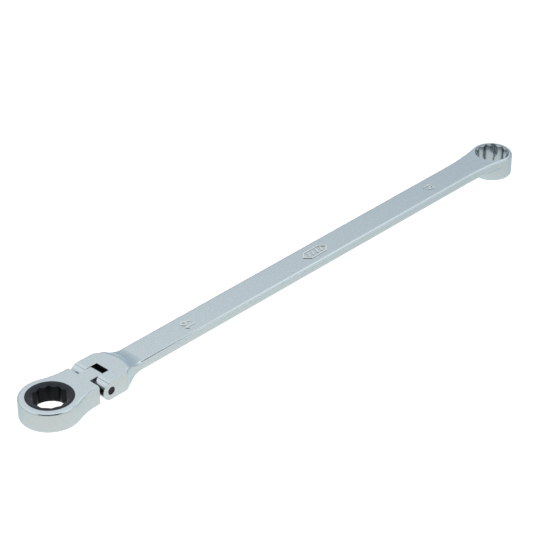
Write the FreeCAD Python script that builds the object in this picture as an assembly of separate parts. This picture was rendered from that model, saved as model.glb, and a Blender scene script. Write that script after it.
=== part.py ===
import FreeCAD, Part
import math
import os

# Extra-long ring wrench: a flex-head ratcheting ring at one end, a fixed ring at the other.
# Millimetres. The origin is on the drive axis of the ratcheting ring, halfway through its height.
# +X runs along the shank to the fixed ring, +Z is the upper face, the hinge axis lies along Y.

V = FreeCAD.Vector
X_AXIS = V(1, 0, 0)
Y_AXIS = V(0, 1, 0)
Z_AXIS = V(0, 0, 1)
SMALL = 1e-3                # tolerance when picking edges by where they lie

# ---- driving dimensions ---------------------------------------------------------------
SOCKET_AF = 19.0            # across the flats of both 12-point openings
RING_X = 388.4              # from the drive axis to the axis of the fixed ring

# ratcheting head
HEAD_R = 18.15              # outside radius around the gear
HEAD_TOP = 6.5
HEAD_BOTTOM = -6.1
HEAD_EDGE = 1.4             # rounding of the head's outer edges
HEAD_ARC_END = 95.0         # degrees from the front of the head to the end of its round part
HOUSING_X = 10.0            # the head stays wide as far as this, to cover the pawl
HOUSING_W = 15.7            # half width there
SHOULDER_X = 25.0           # end face of the shoulders, in front of the fork
SHOULDER_W = 13.4           # half width of the neck at the shoulders
NECK_X = 20.0               # the sides run nearly straight from here to the shoulders
NECK_W = 13.65
CAVITY_R = 15.35            # gear chamber
CAVITY_TOP = 4.6            # the chamber ends here, under the upper lip
LIP_R = 14.1                # opening of the upper lip

# gear
GEAR_TEETH = 72
GEAR_TIP_R = 15.2
TOOTH_DEPTH = 0.55
TIP_START = 0.12            # a tooth as shares of its pitch: the steep flank ends,
TIP_END = 0.22              # the flat tip ends,
BACK_END = 0.88             # and the sloping back reaches the root
COLLAR_R = 13.8             # plain collars above and below the teeth
GEAR_TOP = 6.4
GEAR_BOTTOM = -5.95
TEETH_TOP = 4.45
TEETH_BOTTOM = -4.35
SOCKET_TURN = 22.7          # degrees from a tooth to the first corner of the opening
DISH_FOOT_R = 9.8           # inner radius of the conical lead-ins, at both faces of the gear
UPPER_DISH_R = 12.3
UPPER_DISH_DEPTH = 1.0
LOWER_DISH_R = 12.5
LOWER_DISH_DEPTH = 2.0

# retaining ring under the gear
CLIP_TOP = -4.4
CLIP_THICK = 0.9
CLIP_IN_R = 14.2
CLIP_OUT_R = 15.95
CLIP_GAP = 5.0              # width of the opening in the ring
GROOVE_PLAY = 0.05

# pawl, its pocket and its spring
PAWL_HALF_W = 4.6
PAWL_HALF_H = 2.9
PAWL_BACK_X = 19.2
POCKET_BACK_X = 19.95       # leaves the pawl 0.75 to back out of the teeth
POCKET_PLAY = 0.06
TOOTH_PLAY = 0.06           # backlash between the pawl's teeth and the gear's
PAWL_BORE_R = 1.25
PAWL_BORE_X = 16.9          # bottom of the spring bore in the pawl
WEB_BORE_X = 23.0           # bottom of the spring bore in the web
PAWL_SPRING_R = 0.95        # to the centre of the wire
PAWL_WIRE_R = 0.17
PAWL_SPRING_TURNS = 9

# hinge
HINGE_X = 33.0
PIN_R = 2.5
PIN_RECESS = 0.4
PIN_EDGE = 0.3
PIN_PLAY = 0.03
TANG_HALF_W = 4.85
TANG_HALF_H = 6.05
TANG_END_R = 6.35
FORK_HALF_W = 14.25
FORK_HALF_H = 6.2
FORK_SLOT = 5.0             # half width of the slot
SLOT_WALL_X = 39.65
FORK_SIDE_X = 46.0          # the parallel sides of the fork end here
FORK_BACK_X = 51.3          # rearmost point of the fork's upper face
NOSE_STEP_X = 31.0          # in front of this the nose is turned down to a smaller radius
NOSE_R = 5.92
FORK_RIM = 0.8              # rounding of the fork's outline

# friction plunger in the root of the fork
PLUNGER_R = 2.2
PLUNGER_PLAY = 0.05
PLUNGER_LENGTH = 5.0
PLUNGER_STUB_R = 1.15       # stub that centres the spring
PLUNGER_STUB_LENGTH = 1.5
PLUNGER_BORE_X = 53.0
PLUNGER_TIP_GAP = 0.04
FRICTION_SPRING_R = 1.6
FRICTION_WIRE_R = 0.3
FRICTION_SPRING_TURNS = 6

# shank
SHANK_HALF_H = 2.95
SHANK_W_FORK = 9.65         # half width behind the fork
SHANK_W_RING = 9.85         # half width before the fixed ring
SHANK_EDGE = 1.8            # rounding of the long edges
FORK_FLARE_R = 22.5         # plan curve from the fork into the shank
ROOT_BROW_R = 4.5           # the fork's faces round over at the back,
ROOT_HOLLOW_R = 19.3        # and fall in a hollow curve to the shank
RING_FLARE_R = 160.0        # plan curve from the shank into the fixed ring

# fixed ring
RING_R = 13.42
RING_TOP = SHANK_HALF_H
RING_BOTTOM = -11.7
RING_BOTTOM_ROUND = 1.5
SOCKET_LEAD = 1.0           # height of the conical lead-in at both ends of the fixed opening
SOCKET_LEAD_OUT_R = 11.3
SOCKET_LEAD_IN_R = 9.8

# raised forging marks on the upper face: the size at both ends, a plain ornament between them
MARK_HEIGHT = 0.3
MARK_STROKE = 0.9
RATCHET_MARK_X = 106.3
RATCHET_MARK_SIZE = 6.4
RING_MARK_X = 324.0
RING_MARK_SIZE = 5.2
# the numerals as shares of their height: places run from the left edge of the one, and upward
ONE_PLACE = 0.2
ONE_FLAG = 0.2              # the one's short stroke runs back and down by this much
NINE_PLACE = 0.82           # centre of the nine's loop
NINE_LOOP_UP = 0.74
NINE_LOOP_R = 0.26
NUMBER_MIDDLE = 0.6
ORNAMENT_X = 216.0
ORNAMENT_LENGTH = 20.0
ORNAMENT_HALF_W = 3.6
ORNAMENT_BARS = 4
ORNAMENT_BAR_HALF = 1.8     # half the reach of a slanting bar across the shank
ORNAMENT_BAR_LEAN = 0.9     # and along it


# ---- small helpers --------------------------------------------------------------------
def prism(points, low, high):
    """Solid with a straight-sided outline in XY, between two heights."""
    wire = Part.makePolygon([V(x, y, low) for x, y in points] + [V(*points[0], low)])
    return Part.Face(wire).extrude(V(0, 0, high - low))


def revolved(profile, centre_x=0.0):
    """Solid of revolution about a vertical axis; the profile is a list of edges in XZ."""
    face = Part.Face(Part.Wire(Part.__sortEdges__(profile)))
    return face.revolve(V(centre_x, 0, 0), Z_AXIS, 360)


def disc(radius, low, high, centre_x=0.0):
    return Part.makeCylinder(radius, high - low, V(centre_x, 0, low), Z_AXIS)


def bar_x(radius, start, end):
    return Part.makeCylinder(radius, end - start, V(start, 0, 0), X_AXIS)


def bar_y(radius, half_length, centre_x):
    return Part.makeCylinder(radius, 2 * half_length, V(centre_x, -half_length, 0), Y_AXIS)


def block(x0, x1, half_w, half_h):
    return Part.makeBox(x1 - x0, 2 * half_w, 2 * half_h, V(x0, -half_w, -half_h))


def mirrored(edges):
    """The same plan edges on the other side of the XZ plane."""
    return [e.mirror(V(0, 0, 0), Y_AXIS) for e in edges]


def round_edges(solid, radius, wanted):
    chosen = [e for e in solid.Edges if wanted(e)]
    return solid.makeFillet(radius, chosen)


def twelve_point(low, high, centre_x=0.0, turn=0.0):
    """Prism with the outline of two hexagons set 30 degrees apart."""
    outer = SOCKET_AF / 2 / math.cos(math.pi / 6)
    inner = SOCKET_AF / 2 / math.cos(math.pi / 12)
    points = []
    for k in range(24):
        radius = outer if k % 2 == 0 else inner
        angle = math.radians(15 * k + turn)
        points.append((centre_x + radius * math.cos(angle), radius * math.sin(angle)))
    return prism(points, low, high)


def coil_spring(start, direction, length, coil_r, wire_r, turns):
    """Compression spring: round wire along a helix, lying along the given direction."""
    helix = Part.makeHelix((length - 2 * wire_r) / turns, length - 2 * wire_r, coil_r)
    first = helix.Edges[0]
    tangent = first.tangentAt(first.FirstParameter)
    section = Part.Wire(Part.makeCircle(wire_r, V(coil_r, 0, 0), tangent))
    spring = Part.Wire(helix.Edges).makePipeShell([section], True, True)
    spring.translate(V(0, 0, wire_r))
    turn = FreeCAD.Rotation(Z_AXIS, direction)
    spring.Placement = FreeCAD.Placement(start, turn).multiply(spring.Placement)
    return spring


# ---- ratcheting head --------------------------------------------------------------------
def head_outline():
    """Plan edges of the +Y side of the head, from the front of the ring to the shoulder."""
    side = math.radians(HEAD_ARC_END)
    front = V(-HEAD_R, 0, 0)
    middle = V(-HEAD_R * math.cos(side / 2), HEAD_R * math.sin(side / 2), 0)
    end = V(-HEAD_R * math.cos(side), HEAD_R * math.sin(side), 0)
    ring = Part.Arc(front, middle, end).toShape()
    curve = Part.BSplineCurve()
    shoulder = V(SHOULDER_X, SHOULDER_W, 0)
    neck = V(NECK_X, NECK_W, 0)
    curve.interpolate(
        [end, V(HOUSING_X, HOUSING_W, 0), neck, shoulder],
        InitialTangent=V(math.sin(side), math.cos(side), 0),
        FinalTangent=(shoulder - neck).normalize(),
    )
    return [ring, curve.toShape()]


def tooth_ring(low, high, play=0.0):
    """Ratchet gear blank: saw teeth with a steep driving flank and a long sloping back."""
    tip_r = GEAR_TIP_R + play
    root_r = tip_r - TOOTH_DEPTH
    pitch = 2 * math.pi / GEAR_TEETH
    profile = ((0, root_r), (TIP_START, tip_r), (TIP_END, tip_r), (BACK_END, root_r))
    points = []
    for k in range(GEAR_TEETH):
        for share, radius in profile:
            angle = (k + share) * pitch
            points.append((radius * math.cos(angle), radius * math.sin(angle)))
    return prism(points, low, high)


def make_head():
    half = head_outline()
    across = Part.makeLine(V(SHOULDER_X, SHOULDER_W, 0), V(SHOULDER_X, -SHOULDER_W, 0))
    outline = Part.Wire(Part.__sortEdges__(half + mirrored(half) + [across]))
    body = Part.Face(outline).extrude(V(0, 0, HEAD_TOP - HEAD_BOTTOM))
    body.translate(V(0, 0, HEAD_BOTTOM))

    def on_rim(edge):
        level = edge.BoundBox.ZLength < SMALL
        return level and edge.BoundBox.XMin < SHOULDER_X - 1

    body = round_edges(body, HEAD_EDGE, on_rim)
    body = body.fuse(make_tang())

    chamber = disc(CAVITY_R, HEAD_BOTTOM - 1, CAVITY_TOP)
    lip = disc(LIP_R, CAVITY_TOP - 1, HEAD_TOP + 1)
    groove = disc(CLIP_OUT_R + GROOVE_PLAY, CLIP_TOP - CLIP_THICK - GROOVE_PLAY, CLIP_TOP)
    for tool in (chamber, lip, groove, pawl_pocket(), web_bore(), hinge_bore(PIN_R + PIN_PLAY)):
        body = body.cut(tool)
    return body.removeSplitter()


def make_tang():
    """Tongue between the fork arms, with a round end about the hinge axis."""
    bar = block(SHOULDER_X - 2, HINGE_X + TANG_END_R, TANG_HALF_W, TANG_HALF_H)
    end = bar_y(TANG_END_R, TANG_HALF_W, HINGE_X)
    front = block(SHOULDER_X - 2, HINGE_X, TANG_HALF_W, TANG_HALF_H)
    return bar.common(end).fuse(front)


def hinge_bore(radius):
    return bar_y(radius, FORK_HALF_W + 1, HINGE_X)


def pawl_pocket():
    """Guideway in the web for the pawl, open to the gear chamber."""
    return block(CAVITY_R - 3, POCKET_BACK_X, PAWL_HALF_W + POCKET_PLAY, PAWL_HALF_H + POCKET_PLAY)


def web_bore():
    return bar_x(PAWL_BORE_R, POCKET_BACK_X - 1, WEB_BORE_X)


# ---- gear, retaining ring, pawl -----------------------------------------------------------
def make_gear():
    teeth = tooth_ring(TEETH_BOTTOM, TEETH_TOP)
    collars = disc(COLLAR_R, GEAR_BOTTOM, GEAR_TOP)
    gear = teeth.fuse(collars)
    gear = gear.cut(twelve_point(GEAR_BOTTOM - 1, GEAR_TOP + 1, turn=SOCKET_TURN))
    foot = V(0, 0, GEAR_TOP - UPPER_DISH_DEPTH)
    upper = Part.makeCone(DISH_FOOT_R, UPPER_DISH_R, UPPER_DISH_DEPTH, foot, Z_AXIS)
    mouth = V(0, 0, GEAR_BOTTOM)
    lower = Part.makeCone(LOWER_DISH_R, DISH_FOOT_R, LOWER_DISH_DEPTH, mouth, Z_AXIS)
    return gear.cut(upper).cut(lower)


def make_retaining_ring():
    low = CLIP_TOP - CLIP_THICK
    ring = disc(CLIP_OUT_R, low, CLIP_TOP).cut(disc(CLIP_IN_R, low, CLIP_TOP))
    opening = Part.makeBox(2 * CLIP_OUT_R, CLIP_GAP, 2 * CLIP_THICK)
    opening.translate(V(-2 * CLIP_OUT_R, -CLIP_GAP / 2, low - CLIP_THICK / 2))
    return ring.cut(opening)


def make_pawl():
    body = block(CAVITY_R - 3, PAWL_BACK_X, PAWL_HALF_W, PAWL_HALF_H)
    gear_space = tooth_ring(HEAD_BOTTOM, HEAD_TOP, TOOTH_PLAY)
    body = body.cut(gear_space)
    return body.cut(bar_x(PAWL_BORE_R, PAWL_BORE_X, PAWL_BACK_X + 1))


def make_pawl_spring():
    start = V(PAWL_BORE_X, 0, 0)
    length = WEB_BORE_X - PAWL_BORE_X
    return coil_spring(start, X_AXIS, length, PAWL_SPRING_R, PAWL_WIRE_R, PAWL_SPRING_TURNS)


# ---- handle: fork, shank and fixed ring in one forging ------------------------------------
def fork_flare(side):
    """Plan curve from a back corner of the fork into the shank."""
    centre_y = SHANK_W_FORK + FORK_FLARE_R
    run = math.sqrt(FORK_FLARE_R ** 2 - (centre_y - FORK_HALF_W) ** 2)
    mid_y = centre_y - math.sqrt(FORK_FLARE_R ** 2 - (run / 2) ** 2)
    corner = V(FORK_SIDE_X, side * FORK_HALF_W, 0)
    middle = V(FORK_SIDE_X + run / 2, side * mid_y, 0)
    end = V(FORK_SIDE_X + run, side * SHANK_W_FORK, 0)
    return Part.Arc(corner, middle, end)


def ring_flare(side):
    """Plan curve from the shank into the fixed ring, tangent to the ring."""
    centre_y = SHANK_W_RING + RING_FLARE_R
    reach = math.sqrt((RING_R + RING_FLARE_R) ** 2 - centre_y ** 2)
    share = RING_R / (RING_R + RING_FLARE_R)
    start = V(RING_X - reach, side * SHANK_W_RING, 0)
    end = V(RING_X - reach * share, side * centre_y * share, 0)
    half_run = (end.x - start.x) / 2
    mid_y = centre_y - math.sqrt(RING_FLARE_R ** 2 - half_run ** 2)
    return Part.Arc(start, V(start.x + half_run, side * mid_y, 0), end)


def handle_plan():
    """Plan wire of the whole handle: fork, waist, shank and the outside of the fixed ring."""
    front_x = HINGE_X - FORK_HALF_H
    edges = [Part.makeLine(V(front_x, -FORK_HALF_W, 0), V(front_x, FORK_HALF_W, 0))]
    for side in (1, -1):
        waist = fork_flare(side)
        flare = ring_flare(side)
        corner = waist.StartPoint
        edges.append(Part.makeLine(V(front_x, corner.y, 0), corner))
        edges.append(waist.toShape())
        edges.append(Part.makeLine(waist.EndPoint, flare.StartPoint))
        edges.append(flare.toShape())
    near, far = ring_flare(-1).EndPoint, ring_flare(1).EndPoint
    edges.append(Part.Arc(near, V(RING_X + RING_R, 0, 0), far).toShape())
    return Part.Wire(Part.__sortEdges__(edges))


def fall_cutter(side):
    """Tool for one face: what lies over the fall behind the fork and over the shank."""
    rise = FORK_BACK_X - FORK_SIDE_X
    back_r = (FORK_HALF_W ** 2 + rise ** 2) / (2 * rise)
    drop = FORK_HALF_H - SHANK_HALF_H
    steepest = math.acos(1 - drop / (ROOT_BROW_R + ROOT_HOLLOW_R))
    clear_x = RING_X + 2 * RING_R
    clear_z = 2 * FORK_HALF_H

    def brow(angle):
        x = FORK_BACK_X + ROOT_BROW_R * math.sin(angle)
        return V(x, 0, side * (FORK_HALF_H - ROOT_BROW_R * (1 - math.cos(angle))))

    def hollow(angle):
        x = FORK_BACK_X + (ROOT_BROW_R + ROOT_HOLLOW_R) * math.sin(steepest)
        x -= ROOT_HOLLOW_R * math.sin(angle)
        return V(x, 0, side * (SHANK_HALF_H + ROOT_HOLLOW_R * (1 - math.cos(angle))))

    top, turn, foot = brow(0), brow(steepest), hollow(0)
    corners = [
        foot,
        V(clear_x, 0, foot.z),
        V(clear_x, 0, side * clear_z),
        V(FORK_BACK_X, 0, side * clear_z),
        top,
    ]
    edges = [Part.makeLine(a, b) for a, b in zip(corners, corners[1:])]
    edges.append(Part.Arc(top, brow(steepest / 2), turn).toShape())
    edges.append(Part.Arc(turn, hollow(steepest / 2), foot).toShape())
    return revolved(edges, FORK_BACK_X - back_r)


def on_long_edge(edge):
    """Outline edge of the waist, the shank or the fixed ring, on the upper or lower face."""
    box = edge.BoundBox
    behind_fork = box.XMin > FORK_SIDE_X - SMALL
    along = box.XLength > SMALL and box.YLength > SMALL
    crosses = box.YMin < SMALL < box.YMax + 2 * SMALL and box.XMax < RING_X - RING_R
    return behind_fork and along and not crosses


def on_fork_side(edge):
    box = edge.BoundBox
    at_side = box.YLength < SMALL and abs(abs(box.YMin) - FORK_HALF_W) < SMALL
    return at_side and box.XLength > SMALL and box.XMax < FORK_SIDE_X + SMALL


def make_forging():
    """The handle's outside: plan outline, round nose, hollow falls and the deeper fixed ring."""
    body = Part.Face(handle_plan()).extrude(V(0, 0, 2 * FORK_HALF_H))
    body.translate(V(0, 0, -FORK_HALF_H))
    nose = bar_y(FORK_HALF_H, FORK_HALF_W + 1, HINGE_X)
    behind = block(HINGE_X, RING_X + 2 * RING_R, 2 * FORK_HALF_W, FORK_HALF_H)
    body = body.common(nose.fuse(behind).removeSplitter())
    body = body.cut([fall_cutter(1), fall_cutter(-1)])
    body = round_edges(body, SHANK_EDGE, on_long_edge)
    body = round_edges(body, FORK_RIM, on_fork_side)
    barrel = disc(RING_R, RING_BOTTOM, 0, RING_X)

    def at_bottom(edge):
        return edge.BoundBox.ZMax < RING_BOTTOM + SMALL

    barrel = round_edges(barrel, RING_BOTTOM_ROUND, at_bottom)
    return body.fuse(barrel).removeSplitter()


# ---- raised marks --------------------------------------------------------------------------
def raised_bar(start, end):
    """Straight stroke with round ends, standing on the shank's upper face."""
    low = SHANK_HALF_H - MARK_HEIGHT
    high = SHANK_HALF_H + MARK_HEIGHT
    half = MARK_STROKE / 2
    along = V(end[0] - start[0], end[1] - start[1], 0)
    across = V(-along.y, along.x, 0).normalize() * half
    corners = [V(*start, 0) + across, V(*end, 0) + across, V(*end, 0) - across, V(*start, 0) - across]
    bar = prism([(c.x, c.y) for c in corners], low, high)
    caps = [Part.makeCylinder(half, high - low, V(*p, low), Z_AXIS) for p in (start, end)]
    return bar.fuse(caps)


def raised_loop(centre, radius):
    low = V(*centre, SHANK_HALF_H - MARK_HEIGHT)
    outer = Part.makeCylinder(radius + MARK_STROKE / 2, 2 * MARK_HEIGHT, low, Z_AXIS)
    return outer.cut(Part.makeCylinder(radius - MARK_STROKE / 2, 2 * MARK_HEIGHT, low, Z_AXIS))


def raised_size(centre_x, size, up):
    """The number 19 across the shank; up is the way its top points along X."""

    def at(across, upward):
        return (centre_x + up * (upward - 0.5) * size, up * (NUMBER_MIDDLE - across) * size)

    top = at(ONE_PLACE, 1)
    loop_r = NINE_LOOP_R * size
    return [
        raised_bar(at(ONE_PLACE, 0), top),
        raised_bar(top, at(ONE_PLACE - ONE_FLAG, 1 - ONE_FLAG)),
        raised_loop(at(NINE_PLACE, NINE_LOOP_UP), loop_r),
        raised_bar(at(NINE_PLACE + NINE_LOOP_R, NINE_LOOP_UP), at(NINE_PLACE, 0)),
    ]


def raised_ornament():
    """Long rounded frame with slanting bars inside it."""
    half = ORNAMENT_LENGTH / 2
    w = ORNAMENT_HALF_W
    corners = [(-half, 0), (-half + w, w), (half - w, w), (half, 0), (half - w, -w), (-half + w, -w)]
    points = [(ORNAMENT_X + x, y) for x, y in corners]
    strokes = [raised_bar(a, b) for a, b in zip(points, points[1:] + points[:1])]
    for k in range(ORNAMENT_BARS):
        x = ORNAMENT_X + (k - (ORNAMENT_BARS - 1) / 2) * w
        foot = (x - ORNAMENT_BAR_LEAN, -ORNAMENT_BAR_HALF)
        strokes.append(raised_bar(foot, (x + ORNAMENT_BAR_LEAN, ORNAMENT_BAR_HALF)))
    return strokes


def nose_relief():
    """Tool that leaves a small step across each arm, behind the turned nose."""
    front = block(HINGE_X - 2 * FORK_HALF_H, NOSE_STEP_X, 2 * FORK_HALF_W, 2 * FORK_HALF_H)
    return front.cut(bar_y(NOSE_R, 3 * FORK_HALF_W, HINGE_X))


def make_handle():
    marks = raised_size(RATCHET_MARK_X, RATCHET_MARK_SIZE, -1)
    marks += raised_size(RING_MARK_X, RING_MARK_SIZE, 1)
    marks += raised_ornament()
    body = make_forging().fuse(marks).removeSplitter()
    slot = block(HINGE_X - FORK_HALF_H - 1, SLOT_WALL_X, FORK_SLOT, FORK_HALF_H + 1)
    plunger_bore = bar_x(PLUNGER_R + PLUNGER_PLAY, SLOT_WALL_X - 1, PLUNGER_BORE_X)
    opening = twelve_point(RING_BOTTOM - 1, RING_TOP + 1, RING_X)
    upper_foot = V(RING_X, 0, RING_TOP - SOCKET_LEAD)
    upper_lead = Part.makeCone(SOCKET_LEAD_IN_R, SOCKET_LEAD_OUT_R, SOCKET_LEAD, upper_foot, Z_AXIS)
    lower_foot = V(RING_X, 0, RING_BOTTOM)
    lower_lead = Part.makeCone(SOCKET_LEAD_OUT_R, SOCKET_LEAD_IN_R, SOCKET_LEAD, lower_foot, Z_AXIS)
    body = body.cut([slot, plunger_bore, hinge_bore(PIN_R), opening, upper_lead, lower_lead])
    return body.cut(nose_relief())


# ---- hinge pin, friction plunger and its spring ---------------------------------------------
def make_hinge_pin():
    half = FORK_HALF_W - PIN_RECESS
    pin = bar_y(PIN_R, half, HINGE_X)
    return pin.makeChamfer(PIN_EDGE, [e for e in pin.Edges if e.BoundBox.YLength < SMALL])


def plunger_back_x():
    return HINGE_X + TANG_END_R + PLUNGER_TIP_GAP + PLUNGER_LENGTH


def make_friction_plunger():
    back = plunger_back_x()
    dome_x = back - PLUNGER_LENGTH + PLUNGER_R
    dome = Part.makeSphere(PLUNGER_R, V(dome_x, 0, 0))
    shaft = bar_x(PLUNGER_R, dome_x, back)
    stub = bar_x(PLUNGER_STUB_R, back, back + PLUNGER_STUB_LENGTH)
    return shaft.fuse([dome, stub]).removeSplitter()


def make_friction_spring():
    start = plunger_back_x()
    length = PLUNGER_BORE_X - start
    return coil_spring(
        V(start, 0, 0), X_AXIS, length, FRICTION_SPRING_R, FRICTION_WIRE_R, FRICTION_SPRING_TURNS
    )


def make_parts():
    return {
        "handle": make_handle(),
        "ratchet_head": make_head(),
        "ratchet_gear": make_gear(),
        "gear_retaining_ring": make_retaining_ring(),
        "pawl": make_pawl(),
        "pawl_spring": make_pawl_spring(),
        "hinge_pin": make_hinge_pin(),
        "friction_plunger": make_friction_plunger(),
        "friction_spring": make_friction_spring(),
    }


os.makedirs("parts", exist_ok=True)
for name, solid in make_parts().items():
    solid.exportStep("parts/" + name + ".step")
    print(name, "valid" if solid.isValid() else "NOT VALID", len(solid.Solids), round(solid.Volume, 1))
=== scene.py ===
"""Looks of the flex-head ratcheting ring wrench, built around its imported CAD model.

Metres, in the CAD frame: the origin is on the drive axis of the ratcheting ring, +X runs along
the shank to the fixed ring, and +Z is the upper face.
"""

import math

import bpy
from mathutils import Matrix, Vector


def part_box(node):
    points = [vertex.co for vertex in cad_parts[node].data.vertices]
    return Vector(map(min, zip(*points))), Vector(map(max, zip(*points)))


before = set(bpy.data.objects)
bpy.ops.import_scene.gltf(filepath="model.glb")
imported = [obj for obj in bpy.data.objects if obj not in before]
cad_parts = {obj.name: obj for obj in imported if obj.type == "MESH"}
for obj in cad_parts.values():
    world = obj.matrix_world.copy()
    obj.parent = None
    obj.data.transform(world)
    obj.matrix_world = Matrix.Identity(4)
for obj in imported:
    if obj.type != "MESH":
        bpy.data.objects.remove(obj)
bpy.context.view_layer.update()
scene = bpy.context.scene
MM = 0.001
CRISP = 0.02 * MM                           # over which a mask fades out at a sharp edge

# ---- camera ---------------------------------------------------------------------------
CAMERA_PLACE = Vector((-0.63759, -0.77964, 0.72021))
CAMERA_AZIMUTH = math.radians(-46.125)      # 0 looks along +Y
CAMERA_ELEVATION = math.radians(32.2)
CAMERA_ROLL = math.radians(-0.205)
CAMERA_LENS = 149.89
CAMERA_SENSOR = 36.0


def add_camera():
    """Camera at CAMERA_PLACE, turned by its azimuth, elevation and roll."""
    flat = math.cos(CAMERA_ELEVATION)
    back = Vector((
        math.sin(CAMERA_AZIMUTH) * flat,
        -math.cos(CAMERA_AZIMUTH) * flat,
        math.sin(CAMERA_ELEVATION),
    ))
    right = Vector((math.cos(CAMERA_AZIMUTH), math.sin(CAMERA_AZIMUTH), 0))
    up = back.cross(right)
    c, s = math.cos(CAMERA_ROLL), math.sin(CAMERA_ROLL)
    right, up = right * c + up * s, up * c - right * s
    data = bpy.data.cameras.new("camera")
    data.lens = CAMERA_LENS
    data.sensor_width = CAMERA_SENSOR
    data.clip_start, data.clip_end = 0.01, 20
    camera = bpy.data.objects.new("camera", data)
    scene.collection.objects.link(camera)
    axes = Matrix((right, up, back)).transposed().to_4x4()
    camera.matrix_world = Matrix.Translation(CAMERA_PLACE) @ axes
    scene.camera = camera


# ---- node helpers -----------------------------------------------------------------------
class Surface:
    """A Principled material and short ways to add the nodes that feed it."""

    def __init__(self, name):
        self.material = bpy.data.materials.new(name)
        self.material.use_nodes = True
        self.tree = self.material.node_tree
        self.shader = self.tree.nodes["Principled BSDF"]
        self.place = self.tree.nodes.new("ShaderNodeTexCoord").outputs["Object"]

    def node(self, kind, **values):
        made = self.tree.nodes.new(kind)
        for key, value in values.items():
            setattr(made, key, value)
        return made

    def link(self, output, target):
        self.tree.links.new(output, target)

    def feed(self, name, output):
        self.link(output, self.shader.inputs[name])

    def set(self, **values):
        for key, value in values.items():
            self.shader.inputs[key.replace("_", " ")].default_value = value

    def noise(self, size, detail=3.0, roughness=0.5, stretch=(1, 1, 1)):
        """Noise from 0 to 1 whose features are about size metres across."""
        made = self.node("ShaderNodeTexNoise")
        made.inputs["Scale"].default_value = 1 / size
        made.inputs["Detail"].default_value = detail
        made.inputs["Roughness"].default_value = roughness
        mapping = self.node("ShaderNodeMapping")
        mapping.inputs["Scale"].default_value = stretch
        self.link(self.place, mapping.inputs["Vector"])
        self.link(mapping.outputs["Vector"], made.inputs["Vector"])
        return made.outputs["Fac"]

    def spread(self, value, low, high, start=0.3, end=0.7):
        """value, from start to end, mapped to low to high."""
        made = self.node("ShaderNodeMapRange")
        made.inputs["From Min"].default_value = start
        made.inputs["From Max"].default_value = end
        made.inputs["To Min"].default_value = low
        made.inputs["To Max"].default_value = high
        self.link(value, made.inputs["Value"])
        return made.outputs["Result"]

    def math(self, operation, first, second):
        """Maths on two values, each a socket or a number."""
        made = self.node("ShaderNodeMath", operation=operation)
        for target, value in zip(made.inputs, (first, second)):
            if isinstance(value, (int, float)):
                target.default_value = value
            else:
                self.link(value, target)
        return made.outputs[0]

    def mix(self, share, first, second):
        """Colour from first to second as share goes from 0 to 1; each a colour or a socket."""
        made = self.node("ShaderNodeMix", data_type="RGBA")
        for target, value in ((made.inputs["A"], first), (made.inputs["B"], second)):
            if isinstance(value, tuple):
                target.default_value = (*value, 1)
            else:
                self.link(value, target)
        self.link(share, made.inputs["Factor"])
        return made.outputs["Result"]

    def coordinate(self, axis):
        parts = self.node("ShaderNodeSeparateXYZ")
        self.link(self.place, parts.inputs[0])
        return parts.outputs[axis]

    def within(self, axis, low, high, soft):
        """1 where a coordinate lies between low and high, fading to 0 over soft metres."""
        offset = self.math("SUBTRACT", self.coordinate(axis), (low + high) / 2)
        reach = self.math("ABSOLUTE", offset, 0)
        half = (high - low) / 2
        return self.spread(reach, 1, 0, start=half, end=half + soft)

    def from_axis(self, axis_x):
        """Distance from a vertical axis that crosses X at axis_x."""
        along = self.math("SUBTRACT", self.coordinate("X"), axis_x)
        across = self.coordinate("Y")
        along_squared = self.math("MULTIPLY", along, along)
        across_squared = self.math("MULTIPLY", across, across)
        return self.math("SQRT", self.math("ADD", along_squared, across_squared), 0)

    def bump(self, height, distance):
        """Bump whose full height is distance metres."""
        made = self.node("ShaderNodeBump")
        made.inputs["Strength"].default_value = 1.0
        made.inputs["Distance"].default_value = distance
        self.link(height, made.inputs["Height"])
        return made.outputs["Normal"]


# ---- materials ----------------------------------------------------------------------------
CHROME_DARK = (0.430, 0.495, 0.500)         # the plate near the ratcheting ring
CHROME_LIGHT = (0.475, 0.540, 0.540)
FAR_SHADED_DARK = (0.385, 0.450, 0.465)            # painted shade: the plate's colour darkens towards the fixed ring, for the dimmer reflection there
FAR_SHADED_LIGHT = (0.425, 0.490, 0.505)
FAR_SHADE_START, FAR_SHADE_END = 60 * MM, 360 * MM      # the painted shade deepens between these
CHROME_GRAZING = (0.62, 0.72, 0.78, 1.0)    # keeps edges seen at a glancing angle from going white
CHROME_RAISED = (0.60, 0.63, 0.60)          # the marks' tops, a lighter colour than the plate
CHROME_ROUGH = (0.14, 0.19)
SLOT_PAINTED_SHADE = (0.016, 0.017, 0.018)          # painted shade: near black inside the fork's slot, a deep recess
SLOT_ROUGH = 0.6
SLOT_HALF_W = 5.02 * MM                     # just past the walls of the slot
SLOT_PAST_TIP = 0.35 * MM                   # from the plunger's tip to just past the slot's end
HINGE_PAINTED_SHADE = (0.050, 0.036, 0.027)         # painted shade, dark brown, on the head's faces inside the hinge
SHOULDER_X = 24.97 * MM                     # just inside the faces of the head's shoulders
HEAD_END = 60 * MM                          # anywhere behind the tang
TANG_SIDE = 4.80 * MM                       # just inside the sides of the tang
TANG_TOP = 5.95 * MM                        # just inside its upper and lower faces
HINGE_SHADE_FULL, HINGE_SHADE_HALF = 2.5 * MM, 4.5 * MM  # the painted shade falls to half strength between these heights
HINGE_ROUGH = 0.5
RING_X = 388.4 * MM                         # axis of the fixed ring
FLUTE_R = 11.2 * MM                         # just outside the corners of both openings
FLUTE_SOFT = 0.1 * MM
CORNER_START, CORNER_END = 10.3 * MM, 10.8 * MM  # painted shade: the fixed opening's corners darken in between
MOUTH_LOW, MOUTH_HIGH = -6 * MM, 1.5 * MM   # painted shade: the fixed opening darkens upward between these
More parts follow.
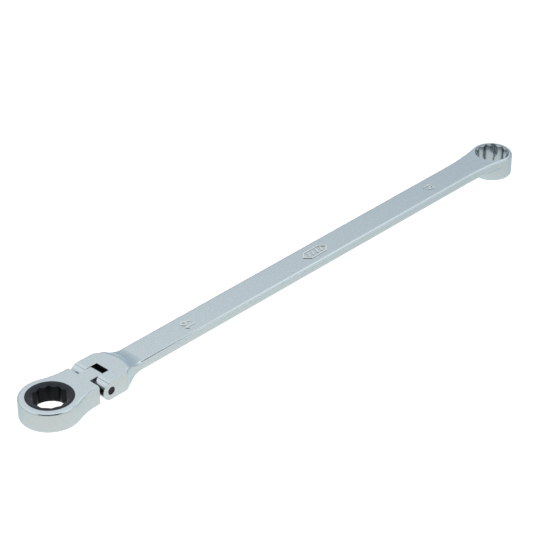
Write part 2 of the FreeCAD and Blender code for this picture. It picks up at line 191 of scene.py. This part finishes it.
GEAR_FLUTE_SHADE = (0.011, 0.013, 0.015)         # painted shade deep in the gear's bore, for the shaded floor it reflects
LEAD_SLOPE = 0.4                            # the gear's upper lead-in rises this much outward,
LEAD_FOOT = 1.48 * MM                       # from this height when carried on to the axis
UNDER_LEAD = LEAD_FOOT - 0.08 * MM          # full painted shade up to here, and none 0.05 mm higher
FLUTE_SHADE = (0.150, 0.170, 0.180)         # painted shade inside the fixed opening, for the shaded floor it reflects
MARKS_START, MARKS_END = 90 * MM, 340 * MM  # the stretch of shank that carries the marks
MARKS_FOOT, MARKS_TOP = 3.12 * MM, 3.30 * MM  # heights between which their tops lie
OXIDE_DARK = (0.021, 0.024, 0.028)
OXIDE_LIGHT = (0.029, 0.033, 0.039)
OXIDE_ROUGH = (0.30, 0.42)
SPRING_DARK = (0.30, 0.30, 0.30)
SPRING_LIGHT = (0.42, 0.42, 0.41)
SPRING_ROUGH = (0.25, 0.40)


def satin_chrome(name):
    """Fine satin chrome plate: cool, nearly smooth, with a faint grain, a cloudy sheen and painted
    shade towards the fixed ring.

    Gives the surface, its colour and its roughness, which the caller feeds in or adds to.
    """
    m = Surface(name)
    m.set(Metallic=1.0, Specular_Tint=CHROME_GRAZING)
    blast = m.spread(m.noise(0.8 * MM, detail=2.0), 0, 1)
    near = m.mix(blast, CHROME_DARK, CHROME_LIGHT)
    # painted shade: the colour darkens along the shank towards the fixed ring
    far_shaded = m.mix(blast, FAR_SHADED_DARK, FAR_SHADED_LIGHT)
    along = m.spread(m.coordinate("X"), 0, 1, start=FAR_SHADE_START, end=FAR_SHADE_END)
    colour = m.mix(along, near, far_shaded)
    cloud = m.noise(14 * MM, detail=1.0)
    rough = m.spread(cloud, *CHROME_ROUGH)
    grain = m.noise(0.3 * MM, detail=2.0)
    m.feed("Normal", m.bump(grain, 0.003 * MM))
    return m, colour, rough


def head_chrome():
    """Satin chrome, with dark brown painted shade on the shoulder and on the sides of the tang,
    strongest low down; rougher there.
    """
    m, colour, rough = satin_chrome("head_chrome")
    behind = m.within("X", SHOULDER_X, HEAD_END, CRISP)
    shade_depth = m.spread(m.coordinate("Z"), 1, 0.5, start=HINGE_SHADE_FULL, end=HINGE_SHADE_HALF)
    under_top = m.within("Z", -TANG_TOP, TANG_TOP, 0.05 * MM)
    beside = m.math("SUBTRACT", 1, m.within("Y", -TANG_SIDE, TANG_SIDE, CRISP))
    faces = m.math("MULTIPLY", m.math("MULTIPLY", behind, under_top), beside)
    # painted shade on the faces between the head and the fork, strongest low down
    hinge_shade = m.math("MULTIPLY", faces, shade_depth)
    m.feed("Base Color", m.mix(hinge_shade, colour, HINGE_PAINTED_SHADE))
    m.feed("Roughness", m.math("MAXIMUM", rough, m.math("MULTIPLY", hinge_shade, HINGE_ROUGH)))
    return m.material


def handle_chrome():
    """Satin chrome: painted shade in the fork's slot and in the fixed opening, brighter on the
    marks.
    """
    m, colour, rough = satin_chrome("handle_chrome")
    slot_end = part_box("friction_plunger")[0].x + SLOT_PAST_TIP
    along = m.within("X", 0, slot_end, CRISP)
    across = m.within("Y", -SLOT_HALF_W, SLOT_HALF_W, CRISP)
    slot = m.math("MULTIPLY", along, across)
    run = m.within("X", MARKS_START, MARKS_END, MM)
    height = m.within("Z", MARKS_FOOT, MARKS_TOP, CRISP)
    marks = m.math("MULTIPLY", run, height)
    radius = m.from_axis(RING_X)
    in_bore = m.spread(radius, 1, 0, start=FLUTE_R, end=FLUTE_R + FLUTE_SOFT)
    corners = m.spread(radius, 0, 0.85, start=CORNER_START, end=CORNER_END)
    mouth = m.spread(m.coordinate("Z"), 0.15, 0.48, start=MOUTH_LOW, end=MOUTH_HIGH)
    colour = m.mix(marks, colour, CHROME_RAISED)
    # painted shade inside the fixed opening: darker corners and a darker upper part
    shade = m.math("MULTIPLY", in_bore, m.math("MAXIMUM", corners, mouth))
    colour = m.mix(shade, colour, FLUTE_SHADE)
    # painted shade: the fork's slot is coloured near black, and rougher
    m.feed("Base Color", m.mix(slot, colour, SLOT_PAINTED_SHADE))
    m.feed("Roughness", m.math("MAXIMUM", rough, m.math("MULTIPLY", slot, SLOT_ROUGH)))
    return m.material


def black_oxide():
    """Dark steel of the gear and the pin: nearly black, with a dull sheen, and painted shade deep
    in the gear's bore.
    """
    m = Surface("black_oxide")
    m.set(Metallic=1.0)
    cloud = m.noise(3 * MM, detail=3.0)
    plain = m.mix(m.spread(cloud, 0, 1), OXIDE_DARK, OXIDE_LIGHT)
    radius = m.from_axis(0)
    inside = m.spread(radius, 1, 0, start=FLUTE_R, end=FLUTE_R + FLUTE_SOFT)
    over_lead = m.math("SUBTRACT", m.coordinate("Z"), m.math("MULTIPLY", radius, LEAD_SLOPE))
    under = m.spread(over_lead, 1, 0, start=UNDER_LEAD, end=UNDER_LEAD + 0.05 * MM)
    # painted shade: the gear's bore below the lead-in is coloured near black
    flute_shade = m.math("MULTIPLY", inside, under)
    m.feed("Base Color", m.mix(flute_shade, plain, GEAR_FLUTE_SHADE))
    m.feed("Roughness", m.spread(cloud, *OXIDE_ROUGH))
    grain = m.noise(0.15 * MM, detail=2.0)
    m.feed("Normal", m.bump(grain, 0.004 * MM))
    return m.material


def spring_steel():
    """Drawn wire and small hardened parts: plain grey steel with fine streaks."""
    m = Surface("spring_steel")
    m.set(Metallic=1.0)
    streak = m.noise(0.4 * MM, detail=3.0, stretch=(0.3, 1, 1))
    m.feed("Base Color", m.mix(m.spread(streak, 0, 1), SPRING_DARK, SPRING_LIGHT))
    m.feed("Roughness", m.spread(streak, *SPRING_ROUGH))
    m.feed("Normal", m.bump(streak, 0.003 * MM))
    return m.material


def paint(material, *names):
    """Give the named CAD nodes one material."""
    for name in names:
        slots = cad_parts[name].data.materials
        slots.clear()
        slots.append(material)


# ---- stage ----------------------------------------------------------------------------------
MIDDLE = Vector((0.19, 0, 0))               # near the middle of the wrench
FLOOR_SIZE = 8.0
FLOOR_GAP = 0.2 * MM                        # left under the outer end of each ring
PAPER_DARK, PAPER_LIGHT = (0.87, 0.87, 0.87), (0.89, 0.89, 0.89)
CLOTH_DARK, CLOTH_LIGHT = (0.010, 0.010, 0.010), (0.016, 0.016, 0.016)
SUN_POWER = 3.68                            # makes the paper just white
POOL_PLACE = (0.0, -0.10, 0.35)             # of the lamp that warms the paper near the head
POOL_POWER = 0.5
POOL_COLOUR = (1.0, 0.45, 0.2)
POOL_RADIUS = 0.1
EDGE_X, EDGE_Y = 0.348, -0.08               # a card for the shank's near edge hangs above here


def add_plane(name, size_x, size_y, material):
    """Flat rectangle in XY, facing +Z."""
    x, y = size_x / 2, size_y / 2
    mesh = bpy.data.meshes.new(name)
    mesh.from_pydata([(-x, -y, 0), (x, -y, 0), (x, y, 0), (-x, y, 0)], [], [(0, 1, 2, 3)])
    mesh.materials.append(material)
    plane = bpy.data.objects.new(name, mesh)
    scene.collection.objects.link(plane)
    return plane


def paper(name, dark, light):
    """Matt paper or cloth with a fibrous tone."""
    m = Surface(name)
    fibre = m.noise(2 * MM, detail=4.0)
    m.feed("Base Color", m.mix(m.spread(fibre, 0, 1), dark, light))
    m.set(Roughness=0.95, Specular_IOR_Level=0.0)
    return m.material


def add_floor():
    """Pale floor, tipped by under a degree to follow the undersides of both rings."""
    head_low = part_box("ratchet_head")[0]
    handle_low, handle_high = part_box("handle")
    tip = math.atan2(head_low.z - handle_low.z, handle_high.x - head_low.x)
    white = paper("floor_paper", PAPER_DARK, PAPER_LIGHT)
    floor = add_plane("floor", FLOOR_SIZE, FLOOR_SIZE, white)
    floor.location = (handle_high.x, 0, handle_low.z - FLOOR_GAP)
    floor.rotation_euler = (0, tip, 0)
    return floor


def aim(thing, place, target):
    """Put a light or a card at a place, with its front towards a target."""
    thing.location = place
    thing.rotation_mode = "QUATERNION"
    thing.rotation_quaternion = (Vector(target) - Vector(place)).to_track_quat("-Z", "Y")


def add_softbox(name, place, size, radiance, target=MIDDLE):
    """Rectangular light, as bright as radiance where it is reflected."""
    data = bpy.data.lights.new(name, "AREA")
    data.shape = "RECTANGLE"
    data.size, data.size_y = size
    data.energy = radiance * math.pi * size[0] * size[1]
    light = bpy.data.objects.new(name, data)
    light.visible_camera = False
    scene.collection.objects.link(light)
    aim(light, place, target)


def add_flag(name, place, size, target):
    """Black card that only reflections see, as a dark streak in the chrome."""
    black = paper(name + "_cloth", CLOTH_DARK, CLOTH_LIGHT)
    flag = add_plane(name, *size, black)
    flag.visible_camera = flag.visible_shadow = flag.visible_diffuse = False
    aim(flag, place, target)


def add_floor_lights(floor):
    """Lamps for the paper alone, with nothing in their way: even white, warmer by the head."""
    only = bpy.data.collections.new("floor_only")
    only.objects.link(floor)
    even = bpy.data.lights.new("floor_lamp", "SUN")
    even.energy = SUN_POWER
    pool = bpy.data.lights.new("head_pool", "POINT")
    pool.energy = POOL_POWER
    pool.color = POOL_COLOUR
    pool.shadow_soft_size = POOL_RADIUS
    for data in (even, pool):
        lamp = bpy.data.objects.new(data.name, data)
        scene.collection.objects.link(lamp)
        lamp.location = POOL_PLACE          # which makes no difference to the sun
        lamp.light_linking.receiver_collection = only
        lamp.light_linking.blocker_collection = only


SKY = (                                     # height of the direction looked in, and colour there
    (0.00, (0.80, 0.85, 0.96)),
    (0.40, (0.87, 0.91, 1.00)),
    (0.50, (1.02, 1.03, 1.09)),
    (0.57, (1.16, 1.15, 1.22)),
    (0.63, (1.28, 1.28, 1.34)),
    (0.80, (1.28, 1.28, 1.34)),
    (1.00, (1.10, 1.12, 1.18)),
)


def add_world():
    """Pale cool studio all round, brightest in a band high up. It doesn't light the paper."""
    world = bpy.data.worlds.new("studio")
    scene.world = world
    world.use_nodes = True
    world.cycles_visibility.diffuse = False
    nodes, links = world.node_tree.nodes, world.node_tree.links
    direction = nodes.new("ShaderNodeTexCoord").outputs["Generated"]
    parts = nodes.new("ShaderNodeSeparateXYZ")
    links.new(direction, parts.inputs[0])
    ramp = nodes.new("ShaderNodeValToRGB")
    stops = ramp.color_ramp.elements
    stops.remove(stops[0])
    stops[0].position, stops[0].color = SKY[0][0], (*SKY[0][1], 1)
    for position, colour in SKY[1:]:
        stops.new(position).color = (*colour, 1)
    links.new(parts.outputs["Z"], ramp.inputs[0])
    links.new(ramp.outputs[0], nodes["Background"].inputs["Color"])


def light_studio(floor):
    """Sky, floor lamps, three softboxes and two black cards."""
    scene.view_settings.view_transform = "Standard"
    add_world()
    add_floor_lights(floor)
    above = MIDDLE + Vector((0.05, 0.10, 1.2))
    add_softbox("overhead", above, size=(1.0, 0.8), radiance=0.30)
    add_softbox("far_strip", (1.90, 0.26, 2.0), size=(1.2, 0.5), radiance=0.45)
    add_softbox("near_strip", (1.6, -1.8, 0.6), size=(1.0, 0.5), radiance=0.8)
    add_flag("front_flag", (-0.45, -0.47, 0.95), size=(1.3, 1.0), target=(0, 0, 0))
    over_edge, edge = (EDGE_X, EDGE_Y, 0.41), (EDGE_X, EDGE_Y, 0)
    add_flag("edge_flag", over_edge, size=(0.065, 0.24), target=edge)


add_camera()
light_studio(add_floor())
paint(handle_chrome(), "handle")
paint(head_chrome(), "ratchet_head")
paint(black_oxide(), "ratchet_gear", "hinge_pin")
paint(
    spring_steel(),
    "gear_retaining_ring", "pawl", "pawl_spring", "friction_plunger", "friction_spring",
)
